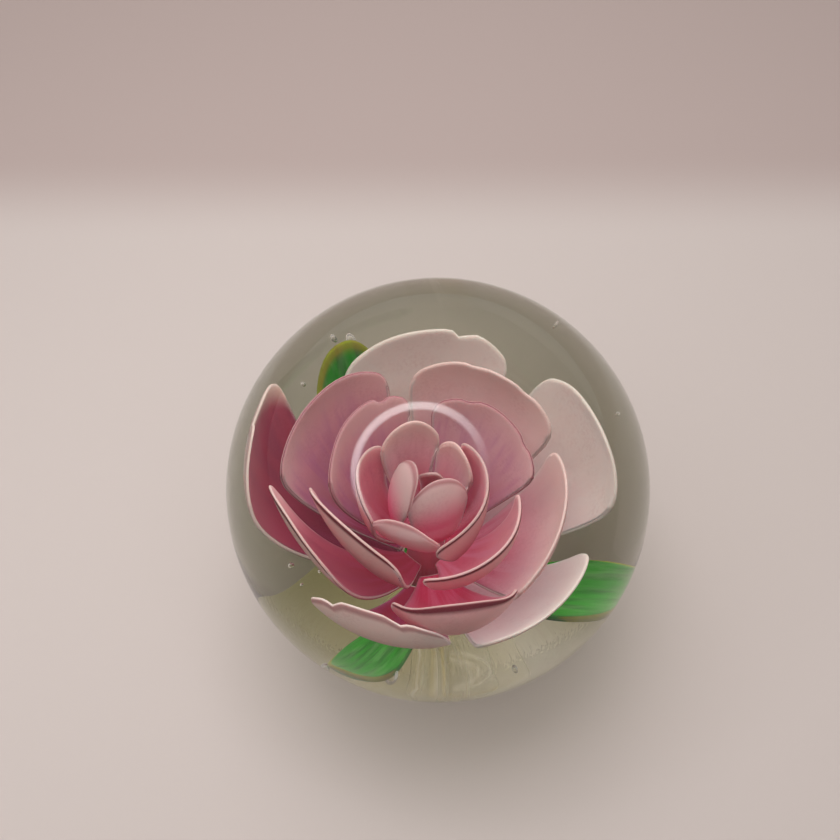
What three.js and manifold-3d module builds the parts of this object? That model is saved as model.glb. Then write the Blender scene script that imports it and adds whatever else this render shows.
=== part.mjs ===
// Glass rose paperweight: a clear ball of glass with a lampworked rose sealed inside it.
// Millimetres and degrees, +Z up. The origin is the centre of the flat ground base, and -Y is the front.
import * as THREE from "three";
import { mergeVertices } from "three/addons/utils/BufferGeometryUtils.js";
import Module from "manifold-3d";

const wasm = await Module();
wasm.setup();

// Driving dimensions
const ballDiameter = 80;
const baseDiameter = 34; // the flat ground under the ball
const clearance = 0.3; // between a coloured piece and the glass or the piece next to it
const petalThickness = 0.9;
const leafThickness = 1.1;

const footDiameter = 15;
const footThickness = 1.4;
const footRecess = 0.5; // how far the foot sits up inside the ground base
const stemDiameter = 4.4;
const stemFlareDiameter = 7.4; // where the stem meets its foot
const stemFlareHeight = 5;
const stemTop = 17.5;

const receptacleDiameter = 5.4; // where the outer petals are stuck on
const receptacleTipDiameter = 3.2; // where the bud petals are stuck on
const receptacleHeight = 13.9 * petalThickness; // room for every whorl of roots
const rootGap = 0.4; // between a petal's root and the receptacle
const rootShare = 0.66; // the width of a petal's root, as a share of the receptacle's there

// The handmade flower isn't on the ball's axis: the stem leans from its foot over to the middle of the rose.
const stemFootCentre = new THREE.Vector2(1.6, 0);
const flowerCentre = new THREE.Vector2(-1.3, -1.3);

const ballRadius = ballDiameter / 2;
const ballCentreHeight = Math.sqrt(ballRadius ** 2 - (baseDiameter / 2) ** 2);
const receptacleBottom = stemTop + clearance;

// The whorls of the flower, from the leaves in to the heart of the bud.
// rootLift: the height of the roots over the stem's top, in petal thicknesses, so thick petals stand apart.
// rootLean: the slope of a midline at its root, from the upright.
// cupRadius: the roundness across a petal.
// swing: how far one edge stands out and the other in, so that neighbours lap without meeting.
// fall: the share of its length that a petal loses at its corners.
// Each petal: the way it faces, how far out and how high its rim reaches, its width, and the lean of its
// rim from the upright, where a negative lean folds it in over the flower.
// skew: how far its rim stands off to one side.
const whorls = [
  {
    name: "leaf",
    colour: "#2f9440",
    thickness: leafThickness,
    rootLift: -4.4,
    rootLean: 80,
    cupRadius: 14,
    swing: 0,
    fall: 0.45,
    petals: {
      back_left: { facing: 117, reach: 24.3, rim: 31.6, width: 13, lean: 18, skew: -0.7 },
      right: { facing: -7, reach: 25.2, rim: 21, width: 9.6, lean: 62 },
      front_left: { facing: -121.7, reach: 19.4, rim: 20.5, width: 8.3, lean: 38.7, skew: -1.3 },
    },
  },
  {
    name: "outer_petal",
    colour: "#e6d2cf",
    thickness: petalThickness,
    rootLift: 1.1,
    rootLean: 80,
    cupRadius: 22,
    swing: 1.2,
    fall: 0.22,
    petals: {
      back: { facing: 97, reach: 22.8, rim: 35, width: 22, lean: 4, skew: -4, cupRadius: 26 },
      right: { facing: 34, reach: 23.7, rim: 34.7, width: 21.6, lean: 1, skew: -2.4, cupRadius: 27 },
      front_right: { facing: -37, reach: 22.6, rim: 32.6, width: 22, lean: 31, skew: -1.7 },
      front_left: { facing: -102, reach: 18.4, rim: 35.8, width: 21, lean: -16, skew: -5.2, cupRadius: 20 },
      left: { facing: 166, reach: 23.3, rim: 36.2, width: 18.1, lean: -8, skew: -6.6, cupRadius: 17.7 },
    },
  },
  {
    name: "middle_petal",
    colour: "#bd7f8c",
    thickness: petalThickness,
    rootLift: 3.7,
    rootLean: 74,
    cupRadius: 15,
    swing: 1,
    fall: 0.22,
    petals: {
      back_left: { facing: 139, reach: 18.8, rim: 39, width: 22.2, lean: -4, skew: -0.6, cupRadius: 21 },
      back: { facing: 69, reach: 18.1, rim: 38.7, width: 22, lean: -6, skew: -2.4, cupRadius: 21 },
      right: { facing: -6, reach: 18, rim: 36.7, width: 24.8, lean: 6, skew: -1.6, cupRadius: 20.5 },
      left: { facing: -146, reach: 18.4, rim: 40, width: 14.6, lean: 10, skew: -8.6, cupRadius: 22 },
      front: { facing: -77, reach: 17.7, rim: 37.7, width: 22, lean: -32, skew: 0.6, cupRadius: 9.4 },
    },
  },
  {
    name: "inner_petal",
    colour: "#ab6f82",
    thickness: petalThickness,
    rootLift: 6.3,
    rootLean: 62,
    cupRadius: 12,
    swing: 0.9,
    fall: 0.2,
    petals: {
      back_left: { facing: 143, reach: 13.7, rim: 39.2, width: 18, lean: 12, skew: -2.6, cupRadius: 15 },
      back_right: { facing: 55, reach: 13.8, rim: 39.2, width: 19, lean: 4, skew: -2.3, cupRadius: 15.4 },
      left: { facing: -132, reach: 12.7, rim: 41, width: 18.1, lean: -1, skew: -5.6, cupRadius: 16.4 },
      front: { facing: -39, reach: 13.7, rim: 38.9, width: 23.4, lean: 8, skew: -2.2, cupRadius: 10.8 },
    },
  },
  {
    name: "cup_petal",
    colour: "#a9596c",
    thickness: petalThickness,
    rootLift: 8.8,
    rootLean: 54,
    cupRadius: 8,
    swing: 0.5,
    fall: 0.25,
    petals: {
      left: { facing: 175, reach: 9.2, rim: 40.5, width: 14, lean: 0, skew: -0.9, cupRadius: 6.9 },
      right: { facing: -9, reach: 8.3, rim: 41.8, width: 23, lean: 8, skew: -1.8, cupRadius: 9.4 },
    },
  },
  {
    name: "heart_petal",
    colour: "#b5717e",
    thickness: petalThickness,
    rootLift: 10.7,
    rootLean: 40,
    cupRadius: 7,
    swing: 1.3,
    fall: 0.25,
    petals: {
      left: { facing: 116, reach: 7.7, rim: 42.5, width: 8.8, lean: 0, skew: -1.4 },
      right: { facing: 56, reach: 6.6, rim: 39.6, width: 7.4, lean: 0, skew: -1 },
    },
  },
  {
    name: "bud_petal",
    colour: "#cf9ba2",
    thickness: petalThickness,
    rootLift: 12.2,
    rootLean: 44,
    cupRadius: 5,
    swing: 0.3,
    fall: 0.3,
    petals: {
      left: { facing: 195, reach: 1, rim: 42, width: 8.4, lean: -68, skew: -0.9, cupRadius: 6 },
      right: { facing: -72, reach: 0.8, rim: 41.2, width: 10, lean: -60, skew: 1.6, cupRadius: 5.2 },
      front: { facing: -108.4, reach: 6.5, rim: 39.4, width: 11.2, lean: -40, skew: -1.4, cupRadius: 10.9 },
      tip: { facing: 80, reach: 1, rim: 40.4, width: 4, lean: -20, skew: -0.6 },
    },
  },
];

const faces = { across: 6, along: 5 }; // of a petal, across it and along it
const colours = {
  glass: "#c9d0bd",
  foot: "#dfe6cf",
  stem: "#cfd896",
  receptacle: "#8f3450",
};

// A closed geometry as a solid.
function solidFrom(geometry) {
  geometry.deleteAttribute("normal");
  geometry.deleteAttribute("uv");
  const merged = mergeVertices(geometry);
  return new wasm.Manifold(
    new wasm.Mesh({
      numProp: 3,
      vertProperties: merged.attributes.position.array,
      triVerts: new Uint32Array(merged.index.array),
    }),
  );
}

// A solid as a named mesh.
function meshOf(name, solid, colour, opacity) {
  const { vertProperties, triVerts } = solid.getMesh();
  const geometry = new THREE.BufferGeometry();
  geometry.setAttribute("position", new THREE.BufferAttribute(vertProperties, 3));
  geometry.setIndex(new THREE.BufferAttribute(triVerts, 1));
  geometry.computeVertexNormals();
  const material = new THREE.MeshStandardMaterial({ color: colour, opacity, roughness: 0.08, metalness: 0 });
  material.transparent = opacity < 1;
  const mesh = new THREE.Mesh(geometry, material);
  mesh.name = name;
  return mesh;
}

// A turned solid from an outline of [radius, height] points, which runs up from the axis and back to it.
function turned(outline, sides) {
  const points = outline.map(([radius, height]) => new THREE.Vector2(radius, height));
  const geometry = new THREE.LatheGeometry(points, sides);
  geometry.rotateX(Math.PI / 2);
  return geometry;
}

// The middle of the stem and the flower at a height.
function axisAt(height) {
  const share = THREE.MathUtils.clamp(height / stemTop, 0, 1);
  return stemFootCentre.clone().lerp(flowerCentre, share);
}

function leaned(geometry) {
  const position = geometry.attributes.position;
  for (let i = 0; i < position.count; i += 1) {
    const axis = axisAt(position.getZ(i));
    position.setXY(i, position.getX(i) + axis.x, position.getY(i) + axis.y);
  }
  return geometry;
}

function ballGeometry() {
  const outline = [[0, 0]];
  const baseAngle = Math.asin(-ballCentreHeight / ballRadius);
  const steps = 22;
  for (let i = 0; i <= steps; i += 1) {
    const angle = THREE.MathUtils.lerp(baseAngle, Math.PI / 2, i / steps);
    const radius = i < steps ? ballRadius * Math.cos(angle) : 0;
    outline.push([radius, ballCentreHeight + ballRadius * Math.sin(angle)]);
  }
  return turned(outline, 48);
}

// The pieces on the axis are made at their own size, or grown on every side to cut their slot in the glass.
function footGeometry(bottom, grow) {
  const radius = footDiameter / 2 + grow;
  const top = footRecess + footThickness + grow;
  return turned([[0, bottom], [radius, bottom], [radius, top], [0, top]], 32);
}

function stemGeometry(grow) {
  const bottom = footRecess + footThickness + clearance;
  const outline = [[0, bottom - grow]];
  const steps = 4;
  for (let i = 0; i <= steps; i += 1) {
    const share = i / steps;
    const diameter = THREE.MathUtils.lerp(stemDiameter, stemFlareDiameter, (1 - share) ** 2);
    outline.push([diameter / 2 + grow, i > 0 ? bottom + share * stemFlareHeight : bottom - grow]);
  }
  outline.push([stemDiameter / 2 + grow, stemTop + grow], [0, stemTop + grow]);
  return leaned(turned(outline, 20));
}

function receptacleRadiusAt(height) {
  const share = (height - receptacleBottom) / receptacleHeight;
  return THREE.MathUtils.lerp(receptacleDiameter, receptacleTipDiameter, share) / 2;
}

function receptacleGeometry(grow) {
  const bottom = receptacleBottom;
  const top = bottom + receptacleHeight;
  const outline = [
    [0, bottom - grow],
    [receptacleRadiusAt(bottom) + grow, bottom - grow],
    [receptacleRadiusAt(top - 1) + grow, top - 1],
    [receptacleRadiusAt(top) / 2 + grow, top + grow],
    [0, top + grow],
  ];
  return leaned(turned(outline, 20));
}

// A direction in the plane of radius and height, from its lean off the upright.
function leaning(degrees) {
  const angle = THREE.MathUtils.degToRad(degrees);
  return new THREE.Vector2(Math.sin(angle), Math.cos(angle));
}

// The radius of what a root is stuck on: the receptacle, or the stem for the leaves.
function coreRadiusAt(height) {
  return height < receptacleBottom ? stemDiameter / 2 : receptacleRadiusAt(height);
}

// The line up the middle of a petal, in the plane of radius and height.
function midlineOf(whorl, petal) {
  const height = stemTop + whorl.rootLift * petalThickness;
  const root = new THREE.Vector2(coreRadiusAt(height) + rootGap, height);
  const rim = new THREE.Vector2(petal.reach, petal.rim);
  const handle = 0.37 * root.distanceTo(rim);
  return new THREE.CubicBezierCurve(
    root,
    root.clone().addScaledVector(leaning(whorl.rootLean), handle),
    rim.clone().addScaledVector(leaning(petal.lean), -handle),
    rim,
  );
}

// 1 or -1 on the two edges of a sheet and 0 between them.
function onEdge(place) {
  return Math.abs(place) === 1 ? place : 0;
}

// A petal or a leaf is a box bent into a cupped sheet: across it, along it and through it.
// Growing it moves its two sides and its edges out and leaves the lines between its faces where they are.
function petalGeometry(whorl, petal, grow) {
  const midline = midlineOf(whorl, petal);
  const length = midline.getLength();
  const rootWidth = 2 * rootShare * coreRadiusAt(midline.v0.y);
  const halfThickness = whorl.thickness / 2 + grow;
  const cupRadius = petal.cupRadius ?? whorl.cupRadius;
  const skew = petal.skew ?? 0;
  const axis = axisAt(midline.v0.y);
  const turn = THREE.MathUtils.degToRad(petal.facing);
  const geometry = new THREE.BoxGeometry(2, 2, 2, faces.across, faces.along, 1);
  const position = geometry.attributes.position;
  for (let i = 0; i < position.count; i += 1) {
    const across = -position.getX(i);
    const along = position.getY(i);
    const side = position.getZ(i);
    const full = 1 - whorl.fall * Math.abs(across) ** 2.4;
    const share = (full * (along + 1)) / 2 + (onEdge(along) * grow) / length;
    const onLine = THREE.MathUtils.clamp(share, 0, 1);
    const point = midline.getPointAt(onLine);
    const slope = midline.getTangentAt(onLine);
    point.addScaledVector(slope, (share - onLine) * length);
    const spread = Math.sin((Math.PI / 2) * onLine ** 1.1);
    const halfWidth = THREE.MathUtils.lerp(rootWidth, petal.width, spread) / 2;
    const bend = (across * halfWidth + onEdge(across) * grow) / cupRadius;
    const rise = cupRadius * (1 - Math.cos(bend)) + side * halfThickness * Math.cos(bend);
    const radius = point.x + whorl.swing * across * share - slope.y * rise;
    const sideways = (cupRadius - side * halfThickness) * Math.sin(bend) + skew * onLine ** 2;
    position.setXYZ(
      i,
      axis.x + radius * Math.cos(turn) - sideways * Math.sin(turn),
      axis.y + radius * Math.sin(turn) + sideways * Math.cos(turn),
      point.y + slope.x * rise,
    );
  }
  return geometry;
}

const paperweight = new THREE.Group();

const receptacle = solidFrom(receptacleGeometry(0));
const stem = solidFrom(stemGeometry(0));
const foot = solidFrom(footGeometry(footRecess, 0));
let slots = solidFrom(footGeometry(-1, clearance)).add(solidFrom(stemGeometry(clearance)));
slots = slots.add(solidFrom(receptacleGeometry(clearance)));

paperweight.add(meshOf("pontil_foot", foot, colours.foot, 1));
paperweight.add(meshOf("flower_stem", stem, colours.stem, 1));
paperweight.add(meshOf("receptacle", receptacle, colours.receptacle, 1));

// From the heart of the bud outwards, each petal gives way to the ones already in place.
for (const whorl of whorls.toReversed()) {
  for (const [place, petal] of Object.entries(whorl.petals)) {
    const solid = solidFrom(petalGeometry(whorl, petal, 0)).subtract(slots);
    paperweight.add(meshOf(`${whorl.name}_${place}`, solid, whorl.colour, 1));
    slots = slots.add(solidFrom(petalGeometry(whorl, petal, clearance)));
  }
}

const glass = solidFrom(ballGeometry()).subtract(slots);
paperweight.add(meshOf("glass_body", glass, colours.glass, 0.35));

export default paperweight;
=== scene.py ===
# Glass rose paperweight: a clear ball with a lampworked rose sealed inside it.
import math

import bpy
from mathutils import Matrix, Vector, noise


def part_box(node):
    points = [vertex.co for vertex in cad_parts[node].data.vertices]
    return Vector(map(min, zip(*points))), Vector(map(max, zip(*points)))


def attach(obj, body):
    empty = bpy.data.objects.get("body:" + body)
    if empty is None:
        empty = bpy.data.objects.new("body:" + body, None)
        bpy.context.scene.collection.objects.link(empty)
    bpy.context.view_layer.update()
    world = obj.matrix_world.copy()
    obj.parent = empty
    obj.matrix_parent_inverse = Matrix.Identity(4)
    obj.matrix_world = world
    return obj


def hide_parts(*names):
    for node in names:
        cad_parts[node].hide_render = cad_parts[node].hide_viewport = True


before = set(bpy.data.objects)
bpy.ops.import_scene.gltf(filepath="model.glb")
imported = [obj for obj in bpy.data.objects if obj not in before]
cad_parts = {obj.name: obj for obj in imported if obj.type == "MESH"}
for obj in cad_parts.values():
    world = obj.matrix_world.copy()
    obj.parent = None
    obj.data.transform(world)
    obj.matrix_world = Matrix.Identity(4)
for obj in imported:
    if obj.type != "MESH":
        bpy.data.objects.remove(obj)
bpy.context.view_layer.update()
millimetre = 0.001

ballLow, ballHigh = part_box("glass_body")
ballRadius = (ballHigh.x - ballLow.x) / 2
ballCentre = Vector((0, 0, ballHigh.z - ballRadius))
baseRadius = math.sqrt(ballRadius**2 - ballCentre.z**2)
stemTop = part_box("flower_stem")[1].z / millimetre
# In millimetres: the stem leans from its foot over to the middle of the rose.
stemFootCentre = Vector((1.6, 0))
flowerCentre = Vector((-1.3, -1.3))


# The camera looks down on the ball from the front. Angles are in degrees, the distance is in metres.
view = {"elevation": 62, "distance": 0.1748, "lens": 38.57, "pan": 1.09, "tilt": 4.22, "nearest": 0.01}


def placeCamera():
    camera = bpy.data.objects.new("camera", bpy.data.cameras.new("camera"))
    bpy.context.scene.collection.objects.link(camera)
    camera.data.lens = view["lens"]
    camera.data.clip_start = view["nearest"]
    elevation = math.radians(view["elevation"])
    away = Vector((0, -math.cos(elevation), math.sin(elevation)))
    tilt = Matrix.Rotation(math.radians(view["tilt"]), 4, "X")
    pan = Matrix.Rotation(math.radians(view["pan"]), 4, "Y")
    turn = Matrix.Rotation(math.radians(90) - elevation, 4, "X") @ tilt @ pan
    camera.matrix_world = Matrix.Translation(ballCentre + away * view["distance"]) @ turn
    bpy.context.scene.camera = camera
    return away


towardsCamera = placeCamera()
print("camera placed")


# Small helpers for shader nodes: an input takes either a value or another node's output.
def fillInputs(tree, made, inputs):
    for key, value in inputs.items():
        if isinstance(value, bpy.types.NodeSocket):
            tree.links.new(value, made.inputs[key])
        else:
            made.inputs[key].default_value = value
    return made


def addNode(tree, kind, inputs=None, **settings):
    made = tree.nodes.new(kind)
    for key, value in settings.items():
        setattr(made, key, value)
    return fillInputs(tree, made, inputs or {})


def calc(tree, operation, first, second=0.0):
    return addNode(tree, "ShaderNodeMath", {0: first, 1: second}, operation=operation).outputs[0]


def smooth(tree, value, low, high):
    made = addNode(tree, "ShaderNodeMapRange", {"Value": value, "From Min": low, "From Max": high})
    made.interpolation_type = "SMOOTHSTEP"
    return made.outputs["Result"]


def blendColours(tree, amount, first, second, mode="MIX"):
    inputs = {0: amount, 6: first, 7: second}
    made = addNode(tree, "ShaderNodeMix", inputs, data_type="RGBA", blend_type=mode, clamp_factor=True)
    return made.outputs[2]


def newGroup(name, inputs, outputs):
    tree = bpy.data.node_groups.new(name, "ShaderNodeTree")
    for label, kind, default in inputs:
        socket = tree.interface.new_socket(label, in_out="INPUT", socket_type="NodeSocket" + kind)
        if default is not None:
            socket.default_value = default
    for label, kind in outputs:
        tree.interface.new_socket(label, in_out="OUTPUT", socket_type="NodeSocket" + kind)
    return tree, tree.nodes.new("NodeGroupInput"), tree.nodes.new("NodeGroupOutput")


def colour(hexCode):
    channels = [int(hexCode[i : i + 2], 16) / 255 for i in (1, 3, 5)]
    linear = [c / 12.92 if c <= 0.04045 else ((c + 0.055) / 1.055) ** 2.4 for c in channels]
    return (*linear, 1.0)


# Lines pulled lengthwise through hot glass
def makePulledLines():
    tree, given, out = newGroup(
        "pulledLines",
        [
            ("Place", "Vector", None),
            ("Lines", "Float", 12.0),
            ("Drift", "Float", 1.5),
            ("Seed", "Float", 0.0),
        ],
        [("Mask", "Float")],
    )
    parts = addNode(tree, "ShaderNodeSeparateXYZ", {0: given.outputs["Place"]})
    across = calc(tree, "MULTIPLY", parts.outputs[0], given.outputs["Lines"])
    along = calc(tree, "MULTIPLY", parts.outputs[1], given.outputs["Drift"])
    place = addNode(tree, "ShaderNodeCombineXYZ", {0: across, 1: along, 2: given.outputs["Seed"]})
    inputs = {"Vector": place.outputs[0], "Scale": 1.0, "Detail": 3.0, "Roughness": 0.6}
    cloud = addNode(tree, "ShaderNodeTexNoise", inputs).outputs[0]
    tree.links.new(smooth(tree, cloud, 0.4, 0.66), out.inputs["Mask"])
    return tree


# Fine grains of the colour powder that is melted into the glass
powderLook = {"shade": "#b9788a", "grain": 2600.0, "patches": 260.0}


def makePowder():
    tree, given, out = newGroup(
        "colourPowder",
        [
            ("Color", "Color", None),
            ("Position", "Vector", None),
            ("Amount", "Float", 0.3),
            ("Grain", "Float", powderLook["grain"]),
        ],
        [("Color", "Color"), ("Height", "Float")],
    )
    position = given.outputs["Position"]
    inputs = {"Vector": position, "Scale": given.outputs["Grain"], "Detail": 2.0}
    fine = addNode(tree, "ShaderNodeTexNoise", inputs).outputs[0]
    inputs = {"Vector": position, "Scale": powderLook["patches"], "Detail": 2.0}
    broad = addNode(tree, "ShaderNodeTexNoise", inputs).outputs[0]
    grain = smooth(tree, fine, 0.42, 0.7)
    patch = smooth(tree, broad, 0.35, 0.7)
    mask = calc(tree, "MULTIPLY", calc(tree, "MULTIPLY", grain, patch), given.outputs["Amount"])
    dark = blendColours(tree, 1.0, given.outputs["Color"], colour(powderLook["shade"]), "MULTIPLY")
    tree.links.new(blendColours(tree, mask, given.outputs["Color"], dark), out.inputs["Color"])
    tree.links.new(fine, out.inputs["Height"])
    return tree


# A petal's colour: root to rim on its two faces, then painted edge light and shade: the pale lip round its
# edge is a painted highlight of the glass edge, and the fine dark line under the lip is a painted shade line.
# Outer Face runs from 0 on the inner face to 1 on the outer one. Crest Amount draws the painted shade line on
# the lip too.
def makePetalTint():
    inputs = [("Place", "Vector", None), ("Outer Face", "Float", 0.0), ("Streaks", "Float", 0.0)]
    for name in ("Root", "Body", "Rim", "Streak", "Outer Root", "Outer Rim", "Lip", "Outline"):
        inputs.append((name, "Color", None))
    inputs += [("Rim Start", "Float", 0.6), ("Streak Amount", "Float", 0.4)]
    inputs += [("Outline Amount", "Float", 0.8), ("Crest Amount", "Float", 0.0)]
    tree, given, out = newGroup("petalTint", inputs, [("Color", "Color")])
    g = given.outputs
    parts = addNode(tree, "ShaderNodeSeparateXYZ", {0: g["Place"]})
    along = parts.outputs[1]
    across = calc(tree, "SUBTRACT", calc(tree, "MULTIPLY", parts.outputs[0], 2.0), 1.0)
    sideways = calc(tree, "ABSOLUTE", across)
    sideEdge = calc(tree, "MULTIPLY", calc(tree, "POWER", sideways, 4.0), smooth(tree, along, 0.25, 0.7))
    edge = calc(tree, "MAXIMUM", along, sideEdge)
    inner = blendColours(tree, smooth(tree, along, 0.15, 0.75), g["Root"], g["Body"])
    streaks = calc(tree, "MULTIPLY", g["Streaks"], g["Streak Amount"])
    inner = blendColours(tree, streaks, inner, g["Streak"])
    inner = blendColours(tree, smooth(tree, edge, g["Rim Start"], 1.0), inner, g["Rim"])
    outer = blendColours(tree, smooth(tree, along, 0.35, 0.9), g["Outer Root"], g["Outer Rim"])
    side = g["Outer Face"]
    faces = blendColours(tree, smooth(tree, side, 0.4, 0.6), inner, outer)
    # The pale lip is a painted highlight of the glass edge.
    lipHighlight = calc(tree, "MULTIPLY", smooth(tree, side, 0.02, 0.15), smooth(tree, side, 0.98, 0.85))
    withLipHighlight = blendColours(tree, lipHighlight, faces, g["Lip"])
    # The fine dark line under the lip, and the crest line on it, are painted shade.
    shadeUnderLip = calc(tree, "MULTIPLY", smooth(tree, side, 0.8, 0.95), smooth(tree, edge, 0.93, 0.97))
    shadeUnderLip = calc(tree, "MULTIPLY", shadeUnderLip, g["Outline Amount"])
    crestShade = calc(tree, "MULTIPLY", smooth(tree, side, 0.25, 0.45), smooth(tree, side, 0.75, 0.55))
    crestShade = calc(tree, "MULTIPLY", crestShade, g["Crest Amount"])
    line = calc(tree, "MAXIMUM", shadeUnderLip, crestShade)
    tree.links.new(blendColours(tree, line, withLipHighlight, g["Outline"]), out.inputs["Color"])
    return tree


pulledLines = makePulledLines()
colourPowder = makePowder()
petalTint = makePetalTint()


def newMaterial(name):
    material = bpy.data.materials.new(name)
    material.use_nodes = True
    tree = material.node_tree
    return material, tree, tree.nodes["Principled BSDF"], tree.nodes["Material Output"]


def placeGroup(tree, group, inputs):
    made = tree.nodes.new("ShaderNodeGroup")
    made.node_tree = group
    return fillInputs(tree, made, inputs)


# Powder over a colour: the colour goes to the shader, and the grains raise the surface a little.
def powderTheSurface(tree, shader, tint, position, amount, relief):
    powder = placeGroup(tree, colourPowder, {"Color": tint, "Position": position, "Amount": amount})
    tree.links.new(powder.outputs["Color"], shader.inputs["Base Color"])
    if relief:
        inputs = {"Height": powder.outputs["Height"], "Strength": relief, "Distance": 0.0001}
        bump = addNode(tree, "ShaderNodeBump", inputs)
        tree.links.new(bump.outputs[0], shader.inputs["Normal"])


# Clear glass. Lamps shine straight through it, a little dimmed, so the flower inside is lit.
glassLook = {"tint": "#ffffff", "index": 1.5, "dimming": "#c8c8c0", "absorbs": "#cfd0a4", "density": 8.0}


def makeClearGlass():
    material, tree, shader, out = newMaterial("clearGlass")
    shader.inputs["Base Color"].default_value = colour(glassLook["tint"])
    shader.inputs["Transmission Weight"].default_value = 1.0
    shader.inputs["Roughness"].default_value = 0.0
    shader.inputs["IOR"].default_value = glassLook["index"]
    through = addNode(tree, "ShaderNodeBsdfTransparent", {"Color": colour(glassLook["dimming"])})
    path = addNode(tree, "ShaderNodeLightPath")
    mix = addNode(tree, "ShaderNodeMixShader")
    tree.links.new(path.outputs["Is Shadow Ray"], mix.inputs[0])
    tree.links.new(shader.outputs[0], mix.inputs[1])
    tree.links.new(through.outputs[0], mix.inputs[2])
    tree.links.new(mix.outputs[0], out.inputs["Surface"])
    inside = {"Color": colour(glassLook["absorbs"]), "Density": glassLook["density"]}
    absorbing = addNode(tree, "ShaderNodeVolumeAbsorption", inside)
    tree.links.new(absorbing.outputs[0], out.inputs["Volume"])
    return material


# The base is ground flat and milky. Its colour holds painted light and shade: the olive left is painted
# shade, the floor's shadow seen through the ball, and the whiter right is a painted pool of light that the
# ball gathers onto it. It is darker at its edge. Distances are in metres.
groundLook = {
    "olive": "#a5a276", "milk": "#dcdccb", "edge": "#88865c", "clear": 0.5, "roughness": 0.5,
    "lightFrom": -0.004, "lightTo": 0.01, "edgeFrom": 0.0075, "edgeTo": 0.0165, "powder": 0.1, "relief": 0.2,
}


def makeGroundGlass():
    material, tree, shader, _ = newMaterial("groundGlass")
    position = addNode(tree, "ShaderNodeTexCoord").outputs["Object"]
    outwards = addNode(tree, "ShaderNodeVectorMath", {0: position}, operation="LENGTH").outputs["Value"]
    across = addNode(tree, "ShaderNodeSeparateXYZ", {0: position}).outputs[0]
    # Painted light and shade: the olive left is painted shade, the milky right a painted pool of gathered
    # light.
    lightOnRight = smooth(tree, across, groundLook["lightFrom"], groundLook["lightTo"])
    atEdge = smooth(tree, outwards, groundLook["edgeFrom"], groundLook["edgeTo"])
    tint = blendColours(tree, lightOnRight, colour(groundLook["olive"]), colour(groundLook["milk"]))
    tint = blendColours(tree, atEdge, tint, colour(groundLook["edge"]))
    powderTheSurface(tree, shader, tint, position, groundLook["powder"], groundLook["relief"])
    shader.inputs["Transmission Weight"].default_value = groundLook["clear"]
    shader.inputs["Roughness"].default_value = groundLook["roughness"]
    shader.inputs["IOR"].default_value = glassLook["index"]
    return material


# Air in the glass bends light the other way.
def makeAirBubble():
    material, _, shader, _ = newMaterial("airBubble")
    shader.inputs["Base Color"].default_value = colour("#ffffff")
    shader.inputs["Transmission Weight"].default_value = 1.0
    shader.inputs["Roughness"].default_value = 0.0
    shader.inputs["IOR"].default_value = 1.0 / glassLook["index"]
    return material
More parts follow.
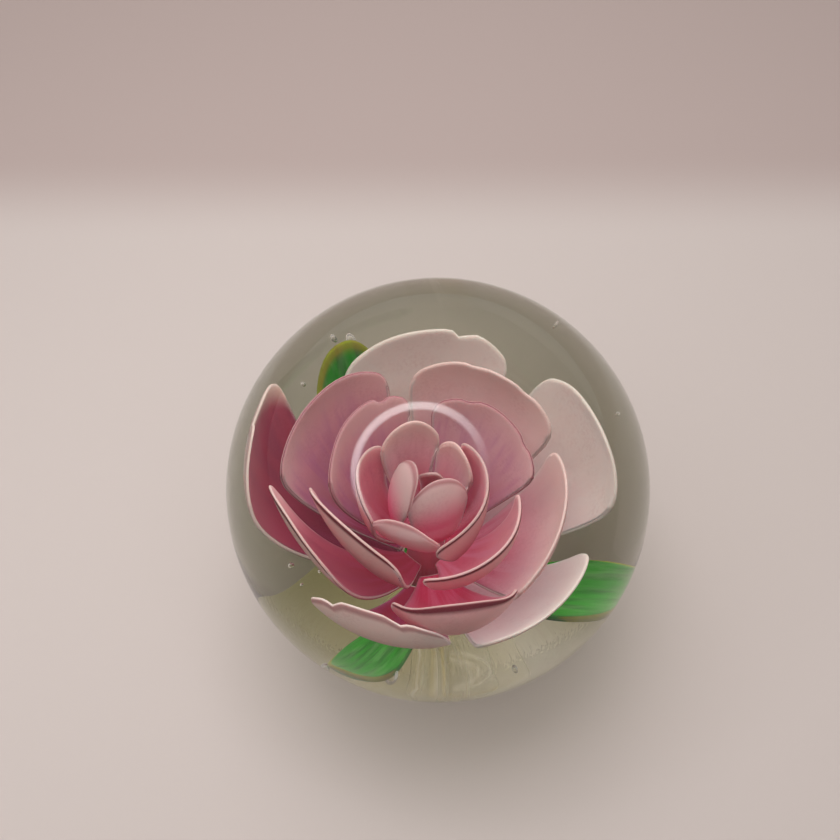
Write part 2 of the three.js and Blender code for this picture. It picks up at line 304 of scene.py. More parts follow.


# The colours of the petals: root, body and rim of the inner face, the outer face, the painted highlight on
# the lip and the painted shade line under it.
# Rim Start is the share of the petal's length at which the rim's colour begins.
petalLooks = {
    "pale": {
        "Root": "#a8808a", "Body": "#cfc5c5", "Rim": "#d6d1d0", "Streak": "#c4acb0",
        "Outer Root": "#a8606f", "Outer Rim": "#cfc6c2", "Lip": "#d2ccc8", "Outline": "#b8a0a0",
        "Rim Start": 0.5, "Streak Amount": 0.25, "Outline Amount": 0.15,
    },
    "blush": {
        "Root": "#8a1f3c", "Body": "#b65f7a", "Rim": "#d0a8ac", "Streak": "#94406e",
        "Outer Root": "#a04860", "Outer Rim": "#ead9d9", "Lip": "#e8d8d6", "Outline": "#8a4a58",
        "Rim Start": 0.8, "Streak Amount": 0.4, "Outline Amount": 0.6,
    },
    "wine": {
        "Root": "#6a1230", "Body": "#983a54", "Rim": "#d3beb6", "Streak": "#7f2f50",
        "Outer Root": "#9b6068", "Outer Rim": "#d8c8c4", "Lip": "#d9c8c3", "Outline": "#7a4450",
        "Rim Start": 0.86, "Streak Amount": 0.4, "Outline Amount": 0.4,
    },
    "rosy": {
        "Root": "#b0486a", "Body": "#cfb0b8", "Rim": "#d8c2c2", "Streak": "#c298a6",
        "Outer Root": "#a03a56", "Outer Rim": "#d4b4b6", "Lip": "#d4bcbc", "Outline": "#b07a84",
        "Rim Start": 0.5, "Streak Amount": 0.35, "Outline Amount": 0.3,
    },
    "mauve": {
        "Root": "#a03460", "Body": "#cca6b4", "Rim": "#d6b6bc", "Streak": "#b884a4",
        "Outer Root": "#8b3049", "Outer Rim": "#d2b0b1", "Lip": "#c096a0", "Outline": "#5e2636",
        "Rim Start": 0.7, "Streak Amount": 0.6, "Outline Amount": 1.0, "Crest Amount": 0.85,
    },
    "dusky": {
        "Root": "#8c264c", "Body": "#c0869a", "Rim": "#d6b2b8", "Streak": "#a86692",
        "Outer Root": "#8b3049", "Outer Rim": "#cfa7aa", "Lip": "#c096a0", "Outline": "#632c3b",
        "Rim Start": 0.6, "Streak Amount": 0.6, "Outline Amount": 0.9, "Crest Amount": 0.7,
    },
    "deep": {
        "Root": "#8e2740", "Body": "#bc6079", "Rim": "#d9a4ae", "Streak": "#9c3c5e",
        "Outer Root": "#9b2c48", "Outer Rim": "#d5bcbc", "Lip": "#d5b9b9", "Outline": "#6a2434",
        "Rim Start": 0.55, "Streak Amount": 0.4, "Outline Amount": 1.0,
    },
    # front: a lighter copy of the deep pink, painted light that makes up for the shade on petals deep inside
    # the flower
    "front": {
        "Root": "#a8284c", "Body": "#d08094", "Rim": "#dca2ac", "Streak": "#bc6886",
        "Outer Root": "#a83a58", "Outer Rim": "#d6b0b5", "Lip": "#bfa2a4", "Outline": "#6a2434",
        "Rim Start": 0.75, "Streak Amount": 0.4, "Outline Amount": 1.0,
    },
    "warm": {
        "Root": "#bc5672", "Body": "#dca2ae", "Rim": "#dcaeb6", "Streak": "#c884a0",
        "Outer Root": "#a83a58", "Outer Rim": "#deb4ba", "Lip": "#d2b0b4", "Outline": "#6a2434",
        "Rim Start": 0.75, "Streak Amount": 0.4, "Outline Amount": 1.0,
    },
    "heart": {
        "Root": "#b04260", "Body": "#dcb8c4", "Rim": "#dcc0c0", "Streak": "#c896a8",
        "Outer Root": "#a03a52", "Outer Rim": "#d5b4b4", "Lip": "#d6b8b8", "Outline": "#84404f",
        "Rim Start": 0.6, "Streak Amount": 0.4, "Outline Amount": 0.5,
    },
    "bud": {
        "Root": "#b0506c", "Body": "#c48e9c", "Rim": "#caa2a8", "Streak": "#b47688",
        "Outer Root": "#da5088", "Outer Rim": "#c4aaae", "Lip": "#bfa0a4", "Outline": "#84404f",
        "Rim Start": 0.6, "Streak Amount": 0.3, "Outline Amount": 0.6,
    },
}


petalFinish = {
    "lines": 9.0, "drift": 1.4, "powder": 0.14, "relief": 0.15, "roughness": 0.55, "shine": 0.15,
    "glow": 0.6, "glowDepth": 0.002, "glowTint": (1.0, 0.6, 0.6),
}


def makePetalMaterial(name, look):
    material, tree, shader, _ = newMaterial(name)
    place = addNode(tree, "ShaderNodeUVMap", uv_map="sheet").outputs[0]
    position = addNode(tree, "ShaderNodeTexCoord").outputs["Object"]
    face = addNode(tree, "ShaderNodeAttribute", attribute_name="outerFace").outputs["Fac"]
    inputs = {"Place": place, "Lines": petalFinish["lines"], "Drift": petalFinish["drift"]}
    inputs["Seed"] = len(name) * 1.7
    lines = placeGroup(tree, pulledLines, inputs)
    inputs = {"Place": place, "Outer Face": face, "Streaks": lines.outputs["Mask"]}
    for key, value in look.items():
        inputs[key] = colour(value) if isinstance(value, str) else value
    tint = placeGroup(tree, petalTint, inputs).outputs["Color"]
    powderTheSurface(tree, shader, tint, position, petalFinish["powder"], petalFinish["relief"])
    shader.inputs["Roughness"].default_value = petalFinish["roughness"]
    shader.inputs["Specular IOR Level"].default_value = petalFinish["shine"]
    shader.inputs["Subsurface Weight"].default_value = petalFinish["glow"]
    shader.inputs["Subsurface Radius"].default_value = petalFinish["glowTint"]
    shader.inputs["Subsurface Scale"].default_value = petalFinish["glowDepth"]
    return material


# Green glass with darker and milky lines, turning olive at the tip
leafLook = {
    "deep": "#06640f", "body": "#229618", "milk": "#98c888", "edge": "#a8901e", "milkiness": 0.22,
    "edging": 0.6, "powder": 0.15, "roughness": 0.5, "shine": 0.15,
}


def makeLeafMaterial():
    material, tree, shader, _ = newMaterial("leafGlass")
    place = addNode(tree, "ShaderNodeUVMap", uv_map="sheet").outputs[0]
    position = addNode(tree, "ShaderNodeTexCoord").outputs["Object"]
    green = placeGroup(tree, pulledLines, {"Place": place, "Lines": 10.0, "Drift": 2.0, "Seed": 3.0})
    milky = placeGroup(tree, pulledLines, {"Place": place, "Lines": 6.0, "Drift": 2.5, "Seed": 11.0})
    tint = blendColours(tree, green.outputs["Mask"], colour(leafLook["body"]), colour(leafLook["deep"]))
    milkiness = calc(tree, "MULTIPLY", milky.outputs["Mask"], leafLook["milkiness"])
    tint = blendColours(tree, milkiness, tint, colour(leafLook["milk"]))
    along = addNode(tree, "ShaderNodeSeparateXYZ", {0: place}).outputs[1]
    edging = calc(tree, "MULTIPLY", smooth(tree, along, 0.93, 1.0), leafLook["edging"])
    tint = blendColours(tree, edging, tint, colour(leafLook["edge"]))
    powderTheSurface(tree, shader, tint, position, leafLook["powder"], 0)
    shader.inputs["Roughness"].default_value = leafLook["roughness"]
    shader.inputs["Specular IOR Level"].default_value = leafLook["shine"]
    return material


# Nearly clear, with milky and yellow-green streaks; its sides show as faint lines. body and footBody are how
# solid the glass looks, streaks and footStreaks how solid the streaks look.
stemLook = {
    "clear": "#a4a98c", "milk": "#f4f5ea", "yellow": "#bfb069", "edge": 0.45, "roughness": 0.45,
    "body": 0.1, "streaks": 0.45, "footBody": 0.05, "footStreaks": 0.08, "shine": 0.1,
}


def makeStemMaterial(name, body, streakiness):
    material, tree, shader, _ = newMaterial(name)
    place = addNode(tree, "ShaderNodeUVMap", uv_map="sheet").outputs[0]
    inputs = {"Place": place, "Lines": 7.0, "Drift": 1.2, "Seed": 5.0}
    milky = placeGroup(tree, pulledLines, inputs).outputs["Mask"]
    inputs = {"Place": place, "Lines": 4.0, "Drift": 0.8, "Seed": 8.0}
    yellow = placeGroup(tree, pulledLines, inputs).outputs["Mask"]
    tinted = blendColours(tree, milky, colour(stemLook["clear"]), colour(stemLook["milk"]))
    tinted = blendColours(tree, yellow, tinted, colour(stemLook["yellow"]))
    tree.links.new(tinted, shader.inputs["Base Color"])
    sideways = addNode(tree, "ShaderNodeLayerWeight", {"Blend": 0.5}).outputs["Facing"]
    edge = calc(tree, "MULTIPLY", smooth(tree, sideways, 0.6, 0.95), stemLook["edge"])
    streaks = calc(tree, "MULTIPLY", calc(tree, "MAXIMUM", milky, yellow), streakiness)
    seen = calc(tree, "MAXIMUM", calc(tree, "MAXIMUM", edge, streaks), body)
    tree.links.new(seen, shader.inputs["Alpha"])
    shader.inputs["Roughness"].default_value = stemLook["roughness"]
    shader.inputs["Specular IOR Level"].default_value = stemLook["shine"]
    return material


# Every piece rides on the one body and gets its materials.
def addPiece(name, vertices, faces, materials):
    mesh = bpy.data.meshes.new(name)
    mesh.from_pydata(vertices, [], faces)
    mesh.update()
    mesh.polygons.foreach_set("use_smooth", [True] * len(faces))
    piece = bpy.data.objects.new(name, mesh)
    bpy.context.scene.collection.objects.link(piece)
    for material in materials:
        mesh.materials.append(material)
    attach(piece, "root")
    return piece


# places holds, for every vertex, where it lies across and along the sheet or round and up the turned piece.
def setSheetPlaces(piece, places):
    layer = piece.data.uv_layers.new(name="sheet")
    for loop in piece.data.loops:
        layer.data[loop.index].uv = places[loop.vertex_index]


def uprightAxis(height):
    return 0.0, 0.0


# A turned piece from (radius, height) points in metres, with poles where the radius is 0. axis gives the
# middle of each ring.
def turnedMesh(outline, sides, axis=uprightAxis):
    vertices, faces, places, rings = [], [], [], []
    for step, (radius, height) in enumerate(outline):
        x, y = axis(height)
        count = 1 if radius == 0 else sides
        rings.append(range(len(vertices), len(vertices) + count))
        for side in range(count):
            angle = 2 * math.pi * side / sides
            vertices.append((x + radius * math.cos(angle), y + radius * math.sin(angle), height))
            wrap = 1 - abs(2 * side / sides - 1)
            places.append((wrap, step / (len(outline) - 1)))
    for low, high in zip(rings, rings[1:]):
        for side in range(sides):
            after = (side + 1) % sides
            if len(low) == 1:
                faces.append((low[0], high[after], high[side]))
            elif len(high) == 1:
                faces.append((low[side], low[after], high[0]))
            else:
                faces.append((low[side], low[after], high[after], high[side]))
    return vertices, faces, places


# The clear ball, with the edge of its ground base softly rounded: edge is how far in, in metres, and edgeRise
# how far up as a share of that
ballShape = {"rings": 96, "sides": 192, "edge": 0.0012, "edgeRise": 0.45}


def makeBall(clear, ground):
    edge = ballShape["edge"]
    outline = [(0.0, 0.0), (baseRadius * 0.5, 0.0), (baseRadius - edge, 0.0)]
    low = math.asin((edge * ballShape["edgeRise"] - ballCentre.z) / ballRadius)
    for ring in range(ballShape["rings"] + 1):
        angle = low + (math.pi / 2 - low) * ring / ballShape["rings"]
        radius = ballRadius * math.cos(angle) if ring < ballShape["rings"] else 0.0
        outline.append((radius, ballCentre.z + ballRadius * math.sin(angle)))
    vertices, faces, _ = turnedMesh(outline, ballShape["sides"])
    ball = addPiece("clear_glass_ball", vertices, faces, [clear, ground])
    for face in ball.data.polygons:
        if face.center.z < edge * 0.01:  # only the flat of the base
            face.material_index = 1
    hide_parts("glass_body")
    return ball


# Petals and leaves, in millimetres and degrees. A whorl has the height and slope of the roots, the roundness
# across a petal, how far one edge swings out, and the share of its length that is lost at the corners. Each
# petal has the way it faces, the reach and height of its rim, its width, the lean of its rim and how far its
# rim is pushed sideways. notches are (place across, depth) cuts in the rim.
sheetShape = {
    "across": 30, "along": 26, "edgeSteps": 3, "unevenness": 0.35, "roundFrom": 0.82,
    "rimThickness": 0.5, "handle": 0.37, "notchWidth": 0.09, "midlineSteps": 200, "crowding": 0.9,
}
whorls = {
    "leaf": {"rootLift": -3.96, "rootLean": 80, "cupRadius": 14, "swing": 0, "fall": 0.45},
    "outer_petal": {"rootLift": 0.99, "rootLean": 80, "cupRadius": 22, "swing": 1.2, "fall": 0.22},
    "middle_petal": {"rootLift": 3.33, "rootLean": 74, "cupRadius": 15, "swing": 1, "fall": 0.22},
    "inner_petal": {"rootLift": 5.67, "rootLean": 62, "cupRadius": 12, "swing": 0.9, "fall": 0.2},
    "cup_petal": {"rootLift": 7.92, "rootLean": 54, "cupRadius": 8, "swing": 0.5, "fall": 0.25},
    "heart_petal": {"rootLift": 9.63, "rootLean": 40, "cupRadius": 7, "swing": 1.3, "fall": 0.25},
    "bud_petal": {"rootLift": 10.98, "rootLean": 44, "cupRadius": 5, "swing": 0.3, "fall": 0.3},
}
thickness = {"petal": 0.9, "leaf": 1.1}
# What the petals are stuck to, in millimetres. rootShare is a root's width as a share of the core's there.
core = {
    "bottom": 5.4, "tip": 3.2, "height": 12.51, "stem": 4.4,
    "gap": 0.3, "rootGap": 0.4, "rootShare": 0.66,
}
petals = {
    "leaf_back_left": {
        "facing": 117, "reach": 24.3, "rim": 31.6, "width": 13, "lean": 18,
        "skew": -0.7, "look": "leaf",
    },
    "leaf_right": {
        "facing": -7, "reach": 25.2, "rim": 21, "width": 9.6, "lean": 62,
        "look": "leaf",
    },
    "leaf_front_left": {
        "facing": -121.7, "reach": 19.4, "rim": 20.5, "width": 8.3, "lean": 38.7,
        "skew": -1.3, "look": "leaf",
    },
    "outer_petal_back": {
        "facing": 97, "reach": 22.8, "rim": 35, "width": 22, "lean": 4,
        "skew": -4, "cupRadius": 26, "look": "pale", "notches": [(-0.3, 0.05)],
    },
    "outer_petal_right": {
        "facing": 34, "reach": 23.7, "rim": 34.7, "width": 21.6, "lean": 1,
        "skew": -2.4, "cupRadius": 27, "look": "pale",
    },
    "outer_petal_front_right": {
        "facing": -37, "reach": 22.6, "rim": 32.6, "width": 22, "lean": 31,
        "skew": -1.7, "look": "pale",
    },
    "outer_petal_front_left": {
        "facing": -102, "reach": 18.4, "rim": 35.8, "width": 21, "lean": -16,
        "skew": -5.2, "cupRadius": 20, "look": "blush", "notches": [(-0.45, 0.04), (0.45, 0.04)],
    },
    "outer_petal_left": {
        "facing": 166, "reach": 23.3, "rim": 36.2, "width": 18.1, "lean": -8,
        "skew": -6.6, "cupRadius": 17.7, "look": "wine", "notches": [(0.1, 0.04)],
    },
    "middle_petal_back_left": {
        "facing": 139, "reach": 18.8, "rim": 39, "width": 22.2, "lean": -4,
        "skew": -0.6, "cupRadius": 21, "look": "dusky",
    },
    "middle_petal_back": {
        "facing": 69, "reach": 18.1, "rim": 38.7, "width": 22, "lean": -6,
        "skew": -2.4, "cupRadius": 21, "look": "rosy", "notches": [(0.25, 0.03), (-0.4, 0.03)],
    },
    "middle_petal_right": {
        "facing": -6, "reach": 18, "rim": 36.7, "width": 24.8, "lean": 6,
        "skew": -1.6, "cupRadius": 20.5, "look": "rosy",
    },
    "middle_petal_left": {
        "facing": -146, "reach": 18.4, "rim": 40, "width": 14.6, "lean": 10,
        "skew": -8.6, "cupRadius": 22, "look": "deep",
    },
    "middle_petal_front": {
        "facing": -77, "reach": 17.7, "rim": 37.7, "width": 22, "lean": -32,
        "skew": 0.6, "cupRadius": 9.4, "look": "front",
    },
    "inner_petal_back_left": {
        "facing": 143, "reach": 13.7, "rim": 39.2, "width": 18, "lean": 12,
        "skew": -2.6, "cupRadius": 15, "look": "dusky", "notches": [(-0.5, 0.05)],
    },
    "inner_petal_back_right": {
        "facing": 55, "reach": 13.8, "rim": 39.2, "width": 19, "lean": 4,
        "skew": -2.3, "cupRadius": 15.4, "look": "mauve", "notches": [(0.5, 0.04), (-0.5, 0.04)],
    },
    "inner_petal_left": {
        "facing": -132, "reach": 12.7, "rim": 41, "width": 18.1, "lean": -1,
        "skew": -5.6, "cupRadius": 16.4, "look": "deep",
    },
    "inner_petal_front": {
        "facing": -39, "reach": 13.7, "rim": 38.9, "width": 23.4, "lean": 8,
        "skew": -2.2, "cupRadius": 10.8, "look": "warm",
    },
    "cup_petal_left": {
        "facing": 175, "reach": 9.2, "rim": 40.5, "width": 14, "lean": 0,
        "skew": -0.9, "cupRadius": 6.9, "look": "front",
    },
    "cup_petal_right": {
        "facing": -9, "reach": 8.3, "rim": 41.8, "width": 23, "lean": 8,
        "skew": -1.8, "cupRadius": 9.4, "look": "front",
    },
    "heart_petal_left": {
        "facing": 116, "reach": 7.7, "rim": 42.5, "width": 8.8, "lean": 0,
        "skew": -1.4, "look": "heart",
    },
    "heart_petal_right": {
        "facing": 56, "reach": 6.6, "rim": 39.6, "width": 7.4, "lean": 0,
        "skew": -1, "look": "heart",
    },
    "bud_petal_left": {
        "facing": 195, "reach": 1, "rim": 42, "width": 8.4, "lean": -68,
        "skew": -0.9, "cupRadius": 6, "look": "bud",
    },
    "bud_petal_right": {
        "facing": -72, "reach": 0.8, "rim": 41.2, "width": 10, "lean": -60,
        "skew": 1.6, "cupRadius": 5.2, "look": "bud",
    },
    "bud_petal_front": {
        "facing": -108.4, "reach": 6.5, "rim": 39.4, "width": 11.2, "lean": -40,
        "skew": -1.4, "cupRadius": 10.9, "look": "bud",
    },
    "bud_petal_tip": {
        "facing": 80, "reach": 1, "rim": 40.4, "width": 4, "lean": -20,
        "skew": -0.6, "look": "bud",
    },
}


def axisAt(height):
    return stemFootCentre.lerp(flowerCentre, min(max(height / stemTop, 0), 1))


def leaning(degrees):
    return Vector((math.sin(math.radians(degrees)), math.cos(math.radians(degrees))))


# The width of what a root is stuck on: the receptacle, or the stem for the leaves
def coreWidthAt(height):
    share = (height - stemTop - core["gap"]) / core["height"]
    return core["stem"] if share < 0 else core["bottom"] + (core["tip"] - core["bottom"]) * share


# The line up the middle of a petal, in the plane of radius and height: its points and the length up to each
def midlineOf(whorl, petal):
    height = stemTop + whorl["rootLift"]
    root = Vector((coreWidthAt(height) / 2 + core["rootGap"], height))
    rim = Vector((petal["reach"], petal["rim"]))
    handle = sheetShape["handle"] * (rim - root).length
    ends = [root, root + leaning(whorl["rootLean"]) * handle, rim - leaning(petal["lean"]) * handle, rim]
    points = []
    for step in range(sheetShape["midlineSteps"] + 1):
        t = step / sheetShape["midlineSteps"]
        weights = [(1 - t) ** 3, 3 * t * (1 - t) ** 2, 3 * t**2 * (1 - t), t**3]
        points.append(sum((end * weight for end, weight in zip(ends, weights)), Vector((0, 0))))
    lengths = [0.0]
    for a, b in zip(points, points[1:]):
        lengths.append(lengths[-1] + (b - a).length)
    return points, lengths


def onMidline(midline, share):
    points, lengths = midline
    target = min(max(share, 0), 1) * lengths[-1]
    low = max(1, min(len(points) - 1, sum(1 for length in lengths if length < target)))
    slope = (points[low] - points[low - 1]).normalized()
    return points[low - 1] + slope * (target - lengths[low - 1]), slope


# Rounds the two corners at a petal's rim: a place on the square grid moves onto a grid with round corners.
def roundedCorner(across, along):
    start = sheetShape["roundFrom"]
    u = max(0, (abs(across) - start) / (1 - start))
    v = max(0, (along - start) / (1 - start))
    across = math.copysign(min(abs(across), start) + (1 - start) * u * math.sqrt(1 - v * v / 2), across)
    along = min(along, start) + (1 - start) * v * math.sqrt(1 - u * u / 2)
    return across, along


def sheetPoint(name, petal, whorl, midline, across, along, offset, grow):
    length = midline[1][-1]
    nearEdge = max(abs(across) ** 3, along**3) if along > 0 else 0
    offset *= 1 - (1 - sheetShape["rimThickness"]) * nearEdge  # thinner towards the rim
    across, along = roundedCorner(across, along)
    full = 1 - whorl["fall"] * abs(across) ** 2.4
    for place, depth in petal.get("notches", []):
        full -= depth * math.exp(-(((across - place) / sheetShape["notchWidth"]) ** 2))
    share = full * along + grow[1] / length
    point, slope = onMidline(midline, share)
    point = point + slope * (share - min(max(share, 0), 1)) * length
    onLine = min(max(share, 0), 1)
    spread = math.sin(math.pi / 2 * onLine**1.1)
    rootWidth = core["rootShare"] * coreWidthAt(midline[0][0].y)
    halfWidth = (rootWidth + (petal["width"] - rootWidth) * spread) / 2
    cupRadius = petal.get("cupRadius", whorl["cupRadius"])
    bend = (across * halfWidth + grow[0]) / cupRadius
    seed = sum(ord(letter) for letter in name) * 0.37
    wave = noise.noise(Vector((across * 1.3 + seed, along * 1.6, seed)))
    offset += wave * sheetShape["unevenness"] * onLine
    rise = cupRadius * (1 - math.cos(bend)) + offset * math.cos(bend)
    radius = point.x + whorl["swing"] * across * share - slope.y * rise
    sideways = (cupRadius - offset) * math.sin(bend) + petal.get("skew", 0) * onLine**2
    turn = math.radians(petal["facing"])
    axis = axisAt(midline[0][0].y)
    x = axis.x + radius * math.cos(turn) - sideways * math.sin(turn)
    y = axis.y + radius * math.sin(turn) + sideways * math.cos(turn)
    return Vector((x, y, point.y + slope.x * rise)) * millimetre


# A closed sheet: its two faces are grids, and a half-round lip runs round the edge between them.
def makeSheet(name, petal, material, slot):
    whorl = whorls[slot]
    midline = midlineOf(whorl, petal)
    half = thickness["leaf" if slot == "leaf" else "petal"] / 2
    columns, rows, steps = sheetShape["across"], sheetShape["along"], sheetShape["edgeSteps"]
    crowding = sheetShape["crowding"]
    vertices, places, sides, faces = [], [], [], []

    # The columns stand closer together towards the two sides.
    def spot(i, j):
        across = math.sin(math.pi / 2 * (2 * i / columns - 1) * crowding) / math.sin(math.pi / 2 * crowding)
        along = j / rows
        edge = ((i == columns) - (i == 0), (j == rows) - (j == 0))
        return across, along, edge

    def put(i, j, angle):
        across, along, edge = spot(i, j)
        inset = half * (math.cos(angle) - 1)
        grow = (edge[0] * inset, edge[1] * inset)
        offset = half * math.sin(angle)
        vertices.append(sheetPoint(name, petal, whorl, midline, across, along, offset, grow))
        places.append(((across + 1) / 2, along))
        sides.append((1 - math.sin(angle)) / 2)
        return len(vertices) - 1

    inner = [[put(i, j, math.pi / 2) for j in range(rows + 1)] for i in range(columns + 1)]
    outer = [[put(i, j, -math.pi / 2) for j in range(rows + 1)] for i in range(columns + 1)]
    for i in range(columns):
        for j in range(rows):
            faces.append((inner[i][j], inner[i][j + 1], inner[i + 1][j + 1], inner[i + 1][j]))
            faces.append((outer[i][j], outer[i + 1][j], outer[i + 1][j + 1], outer[i][j + 1]))
    border = [(i, 0) for i in range(columns)] + [(columns, j) for j in range(rows)]
    border += [(i, rows) for i in range(columns, 0, -1)] + [(0, j) for j in range(rows, 0, -1)]
    strips = []
    for i, j in border:
        strip = [inner[i][j]]
        strip += [put(i, j, math.pi / 2 - math.pi * step / (steps + 1)) for step in range(1, steps + 1)]
        strips.append(strip + [outer[i][j]])
    for k, strip in enumerate(strips):
        after = strips[(k + 1) % len(strips)]
        for step in range(steps + 1):
            faces.append((strip[step], after[step], after[step + 1], strip[step + 1]))
    piece = addPiece(name + "_glass", vertices, faces, [material])
    setSheetPlaces(piece, places)
    side = piece.data.attributes.new("outerFace", "FLOAT", "POINT")
    side.data.foreach_set("value", sides)
    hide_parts(name)
    return piece


# The stem on its foot, and the core that the petals are stuck to, in millimetres
stemShape = {
    "foot": 15, "footLow": 0.5, "footThickness": 1.4, "soft": 0.35, "footSides": 96,
    "flare": 7.4, "flareHeight": 5, "flareRings": 20, "rings": 8, "sides": 48,
    "coreRings": 16, "coreSides": 32, "coreRoundFrom": 0.85,
}


def leanedAxis(height):
    axis = axisAt(height / millimetre) * millimetre
    return axis.x, axis.y


def addTurned(name, outline, sides, axis, material, node):
    points = [(radius * millimetre, height * millimetre) for radius, height in outline]
    vertices, faces, places = turnedMesh(points, sides, axis)
    piece = addPiece(name, vertices, faces, [material])
    setSheetPlaces(piece, places)
    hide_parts(node)
    return piece


def makeFoot(material):
    low = stemShape["footLow"]
    top = low + stemShape["footThickness"]
    soft = stemShape["soft"]
    radius = stemShape["foot"] / 2
    outline = [(0, low), (radius - soft, low), (radius, low + soft)]
    outline += [(radius, top - soft), (radius - soft, top), (0, top)]
    sides = stemShape["footSides"]
    return addTurned("pontil_foot_glass", outline, sides, uprightAxis, material, "pontil_foot")


def makeStem(material):
    bottom = stemShape["footLow"] + stemShape["footThickness"] + core["gap"]
    flareTop = bottom + stemShape["flareHeight"]
    outline = [(0, bottom)]
    for ring in range(stemShape["flareRings"] + 1):
        share = ring / stemShape["flareRings"]
        diameter = core["stem"] + (stemShape["flare"] - core["stem"]) * (1 - share) ** 2
        outline.append((diameter / 2, bottom + share * stemShape["flareHeight"]))
    for ring in range(1, stemShape["rings"] + 1):
        height = flareTop + (stemTop - flareTop) * ring / stemShape["rings"]
        outline.append((core["stem"] / 2, height))
    outline.append((0, stemTop))
    sides = stemShape["sides"]
    return addTurned("flower_stem_glass", outline, sides, leanedAxis, material, "flower_stem")


def makeReceptacle(material):
    bottom = stemTop + core["gap"]
    rings = stemShape["coreRings"]
    roundFrom = stemShape["coreRoundFrom"]
    outline = [(0, bottom)]
    for ring in range(rings + 1):
        share = ring / rings
        width = core["bottom"] + (core["tip"] - core["bottom"]) * share
        rounding = math.sqrt(max(0.0, 1 - max(0.0, (share - roundFrom) / (1 - roundFrom)) ** 2))
        outline.append((width / 2 * rounding if ring < rings else 0, bottom + core["height"] * share))
    sides = stemShape["coreSides"]
    return addTurned("receptacle_glass", outline, sides, leanedAxis, material, "receptacle")


# Bubbles of air caught in the glass: place and radius in millimetres
bubbles = [
    (-17.6, -4.8, 25, 0.35), (-14.2, -5.7, 25, 0.3), (-16.3, -6.9, 24, 0.2), (-5.1, -12.7, 15.4, 0.8),
    (-12.4, -12.1, 16.2, 0.55), (-9.4, 23, 27, 0.5), (-11, 22.9, 26.6, 0.3), (-15, 17.8, 27, 0.25),
    (8.3, -10.2, 14, 0.3), (12.5, 22.6, 30, 0.2), (20.6, 12.7, 30, 0.25), (3.5, -13.4, 12.5, 0.22),
]


def makeBubbles(material):
    rings, sides = 12, 24
    for number, (x, y, z, radius) in enumerate(bubbles):
        outline = []
        for ring in range(rings + 1):
            angle = math.pi * (ring / rings - 0.5)
            across = radius * math.cos(angle) if 0 < ring < rings else 0.0
            outline.append((across * millimetre, (z + radius * math.sin(angle)) * millimetre))
        middle = (x * millimetre, y * millimetre)
        vertices, faces, _ = turnedMesh(outline, sides, lambda height: middle)
        addPiece(f"air_bubble_{number + 1}", vertices, faces, [material])


clearGlass = makeClearGlass()
groundGlass = makeGroundGlass()
ball = makeBall(clearGlass, groundGlass)
makeBubbles(makeAirBubble())
print("ball made")

materials = {look: makePetalMaterial(look + "Petal", petalLooks[look]) for look in petalLooks}
materials["leaf"] = makeLeafMaterial()
flowerPieces = []
for name, petal in petals.items():
    slot = "leaf" if name.startswith("leaf") else "_".join(name.split("_")[:2])
    flowerPieces.append(makeSheet(name, petal, materials[petal["look"]], slot))
flowerPieces.append(makeFoot(makeStemMaterial("footGlass", stemLook["footBody"], stemLook["footStreaks"])))
flowerPieces.append(makeStem(makeStemMaterial("stemGlass", stemLook["body"], stemLook["streaks"])))
flowerPieces.append(makeReceptacle(materials["front"]))
print("flower made")


# A pale floor that darkens away behind the ball, in metres
floorLook = {
    "near": "#d6cdc8", "far": "#c1b2ad", "bend": 0.117, "soft": 0.018, "size": 1.6,
    "drop": 0.0001, "roughness": 0.7, "shine": 0.2,
}


def makeFloor():
    half = floorLook["size"] / 2
    corners = [(-half, -half, 0), (half, -half, 0), (half, half, 0), (-half, half, 0)]
    mesh = bpy.data.meshes.new("floor")
    mesh.from_pydata(corners, [], [(0, 1, 2, 3)])
    floor = bpy.data.objects.new("floor", mesh)
    bpy.context.scene.collection.objects.link(floor)
    floor.location.z = -floorLook["drop"]
    material, tree, shader, _ = newMaterial("paleFloor")
    position = addNode(tree, "ShaderNodeTexCoord").outputs["Object"]
    back = addNode(tree, "ShaderNodeSeparateXYZ", {0: position}).outputs[1]
    bend, soft = floorLook["bend"], floorLook["soft"]
    far = smooth(tree, back, bend - soft, bend + soft)
    tint = blendColours(tree, far, colour(floorLook["near"]), colour(floorLook["far"]))
    tree.links.new(tint, shader.inputs["Base Color"])
    shader.inputs["Roughness"].default_value = floorLook["roughness"]
    shader.inputs["Specular IOR Level"].default_value = floorLook["shine"]
    mesh.materials.append(material)


# Light: a grey room, one wide soft lamp above and behind, and a ring lamp round the camera that shows as the
# ring in the glass. The ball gathers light onto the flower and the petals glow through: two lamps that reach
# only the ball and its flower stand for that, one with shadows and one without.
roomLight = {"colour": "#f4efee", "strength": 0.42}
overhead = {"position": (-0.05, 0.14, 0.55), "size": 0.35, "power": 1.5, "colour": "#fff6f3"}
gathered = {"position": (0.1, 0.16, 0.36), "size": 0.5, "power": 1.9, "colour": "#fff2f5"}
glowing = {"position": (-0.03, 0.1, 0.42), "size": 0.5, "power": 2.6, "colour": "#ffeef4"}
ringLamp = {"size": 0.23, "distance": 0.176, "up": 7.5, "left": 8.5, "power": 1.35}
ringGlow = {"radius": 0.43, "width": 0.05, "slant": 1.1, "darkSide": -0.3, "brightSide": 0.6, "least": 0.1}


# A square lamp that looks at the ball
def addLamp(name, size, power, place, tint="#ffffff"):
    lamp = bpy.data.lights.new(name, "AREA")
    lamp.size = size
    lamp.energy = power
    lamp.color = colour(tint)[:3]
    holder = bpy.data.objects.new(name, lamp)
    holder.location = place
    holder.rotation_euler = (ballCentre - holder.location).to_track_quat("-Z", "Y").to_euler()
    holder.visible_transmission = False
    bpy.context.scene.collection.objects.link(holder)
    return holder


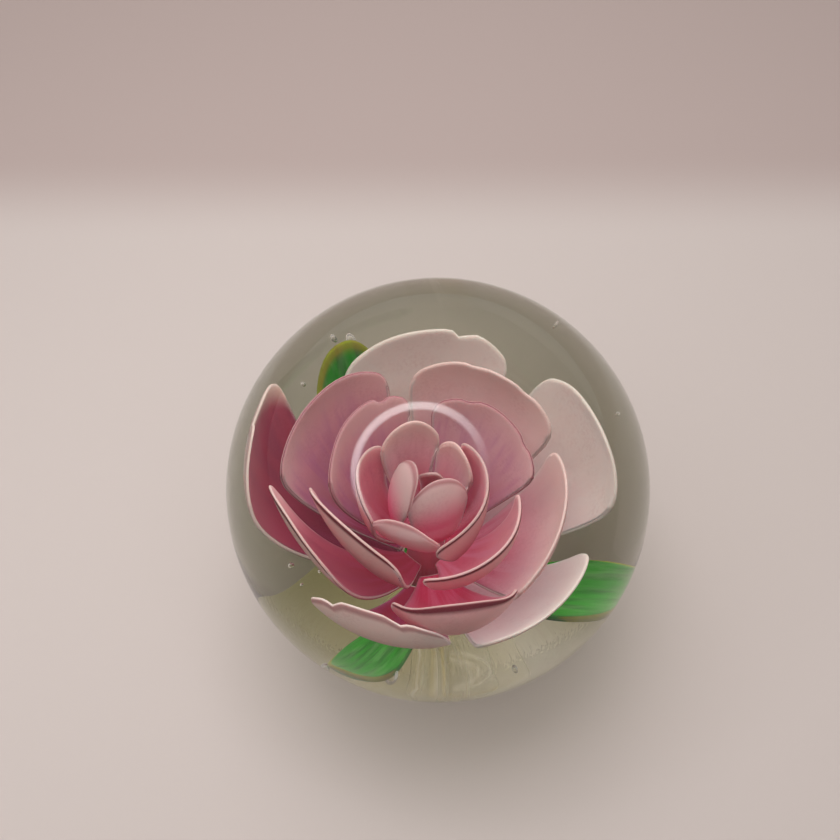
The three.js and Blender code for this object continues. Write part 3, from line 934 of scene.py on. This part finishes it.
def makeLights():
    world = bpy.data.worlds.new("room")
    bpy.context.scene.world = world
    world.use_nodes = True
    world.node_tree.nodes["Background"].inputs[0].default_value = colour(roomLight["colour"])
    world.node_tree.nodes["Background"].inputs[1].default_value = roomLight["strength"]

    above = addLamp("overhead", overhead["size"], overhead["power"], overhead["position"], overhead["colour"])
    above.visible_glossy = False
    lit = bpy.data.collections.new("lampworkedFlower")
    for piece in flowerPieces + [ball]:
        lit.objects.link(piece)
    for name, values in (("gathered", gathered), ("glowing", glowing)):
        inside = addLamp(name, values["size"], values["power"], values["position"], values["colour"])
        inside.visible_glossy = False
        inside.light_linking.receiver_collection = lit
        inside.data.use_shadow = name == "gathered"

    up = Matrix.Rotation(math.radians(-ringLamp["up"]), 3, "X")
    left = Matrix.Rotation(math.radians(-ringLamp["left"]), 3, "Y")
    place = ballCentre + left @ up @ towardsCamera * ringLamp["distance"]
    ring = addLamp("ringLamp", ringLamp["size"], ringLamp["power"], place)
    ring.visible_camera = False
    ring.data.use_nodes = True
    tree = ring.data.node_tree
    face = addNode(tree, "ShaderNodeNewGeometry").outputs["Parametric"]
    parts = addNode(tree, "ShaderNodeSeparateXYZ", {0: face})
    x = calc(tree, "SUBTRACT", parts.outputs[0], 0.5)
    y = calc(tree, "SUBTRACT", parts.outputs[1], 0.5)
    radius = calc(tree, "SQRT", calc(tree, "ADD", calc(tree, "MULTIPLY", x, x), calc(tree, "MULTIPLY", y, y)))
    band = calc(tree, "ABSOLUTE", calc(tree, "SUBTRACT", radius, ringGlow["radius"]))
    glow = smooth(tree, band, ringGlow["width"], ringGlow["width"] * 0.3)
    slanting = calc(tree, "SUBTRACT", y, calc(tree, "MULTIPLY", x, ringGlow["slant"]))
    brighter = smooth(tree, slanting, ringGlow["darkSide"], ringGlow["brightSide"])
    upper = calc(tree, "ADD", brighter, ringGlow["least"])
    tree.links.new(calc(tree, "MULTIPLY", glow, upper), tree.nodes["Emission"].inputs["Strength"])


makeFloor()
makeLights()
bpy.context.scene.view_settings.view_transform = "Standard"
print("stage and lights made")
